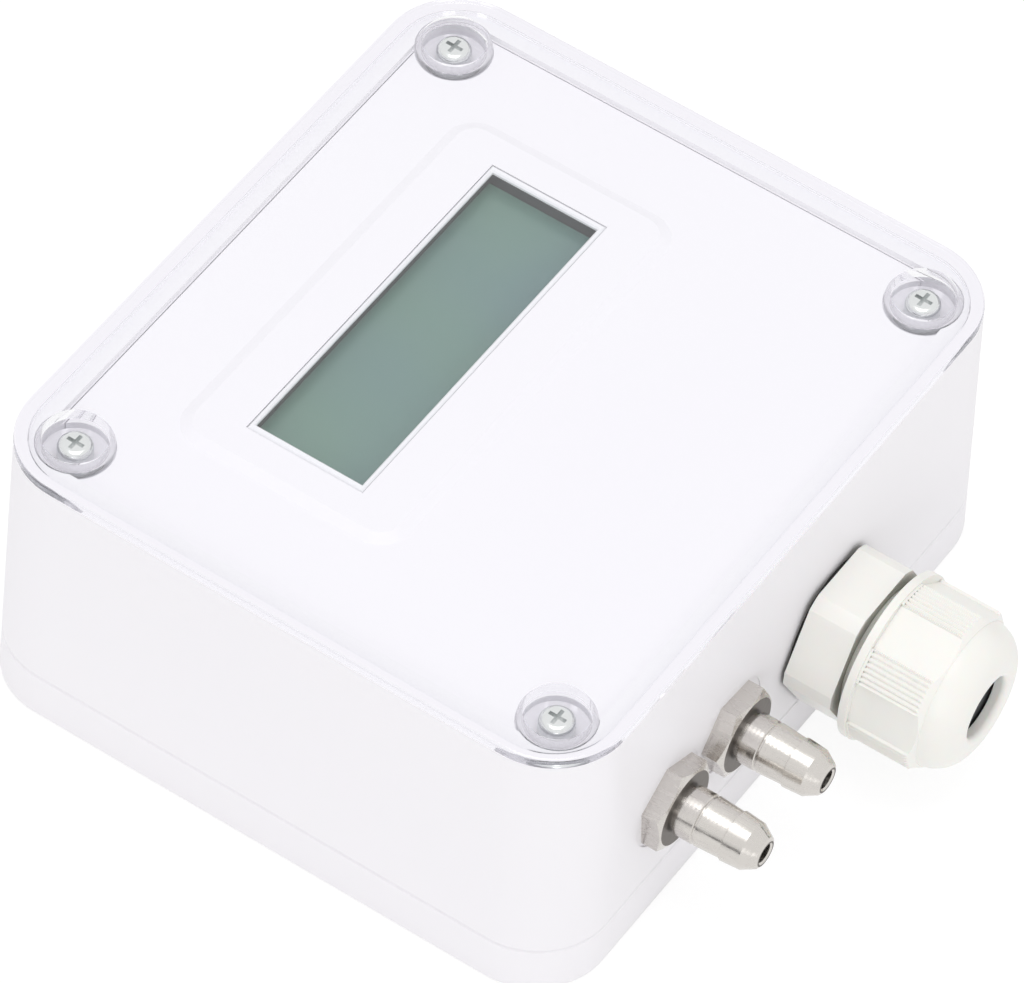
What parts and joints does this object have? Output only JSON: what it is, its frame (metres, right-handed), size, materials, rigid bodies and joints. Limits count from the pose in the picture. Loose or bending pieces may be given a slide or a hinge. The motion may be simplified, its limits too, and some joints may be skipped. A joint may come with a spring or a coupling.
{
  "type": "differential pressure transmitter",
  "caption": "Plastic wall box with a clear screwed lid over a small display, with barbed hose ports and a cable gland on one side.",
  "frame": {"origin": "centre of the flat back face, where it meets the wall", "axes": "+Z out of the wall through the display; -Y the side with the hose ports and the cable gland; +X along the display, from the ports towards the gland"},
  "size_m": [0.0926, 0.1027, 0.0396],
  "materials": {
    "white_abs": "satin moulded",
    "clear_polycarbonate": "clear, polished",
    "silicone_gasket": "soft matt",
    "stainless_steel": "turned",
    "white_panel": "smooth matt",
    "white_rim": "polished bevel",
    "black_plastic": "moulded",
    "display_glass": "polarised display film on glass",
    "light_guide": "frosted",
    "tinned_pins": "tinned",
    "circuit_board": "solder mask over glass fibre",
    "plated_brass": "turned",
    "capacitor_can": "drawn can",
    "green_plastic": "moulded",
    "sensor_plastic": "moulded",
    "nickel_brass": "nickel plated, turned",
    "silicone_tube": "translucent soft tube",
    "black_rubber": "moulded",
    "gland_nylon": "smooth moulded nylon"
  },
  "bodies": {
    "case": {"back_plate": "white_abs", "housing": "white_abs", "lid": "clear_polycarbonate", "lid_gasket": "silicone_gasket", "lid_screws": "stainless_steel", "case_screws": "stainless_steel", "display_panel": "white_panel", "lcd_frame": "white_rim", "lcd_bezel": "black_plastic", "lcd_glass": "display_glass", "lcd_light_guide": "light_guide", "lcd_pins": "tinned_pins", "display_board": "circuit_board", "display_board_screws": "stainless_steel", "board_spacers": "plated_brass", "main_board": "circuit_board", "header_strip": "black_plastic", "header_pins": "tinned_pins", "board_chips": "black_plastic", "board_capacitor": "capacitor_can", "terminal_block": "green_plastic", "terminal_clamps": "tinned_pins", "terminal_screws": "stainless_steel", "pressure_sensor": "sensor_plastic", "high_port": "nickel_brass", "low_port": "nickel_brass", "port_washers": "stainless_steel", "port_nuts": "nickel_brass", "high_tube": "silicone_tube", "low_tube": "silicone_tube", "gland_washer": "black_rubber", "gland_body": "gland_nylon", "gland_lock_nut": "gland_nylon"},
    "seal": {"gland_seal": "black_rubber"},
    "cap_nut": {"gland_cap": "gland_nylon"}
  },
  "joints": [
    {"name": "seal_slide", "type": "slide", "parent": "case", "child": "seal", "axis": [0, -1, 0], "range_m": [0, 0.0043]},
    {"name": "cap_turn", "type": "hinge", "parent": "seal", "child": "cap_nut", "pos_m": [0.0082, -0.05232, 0.0154], "axis": [0, -1, 0], "range_deg": [0, 1080]}
  ],
  "couplings": [
    {"joint": "seal_slide", "follows": "cap_turn", "m_per_rad": 0.00022441}
  ]
}
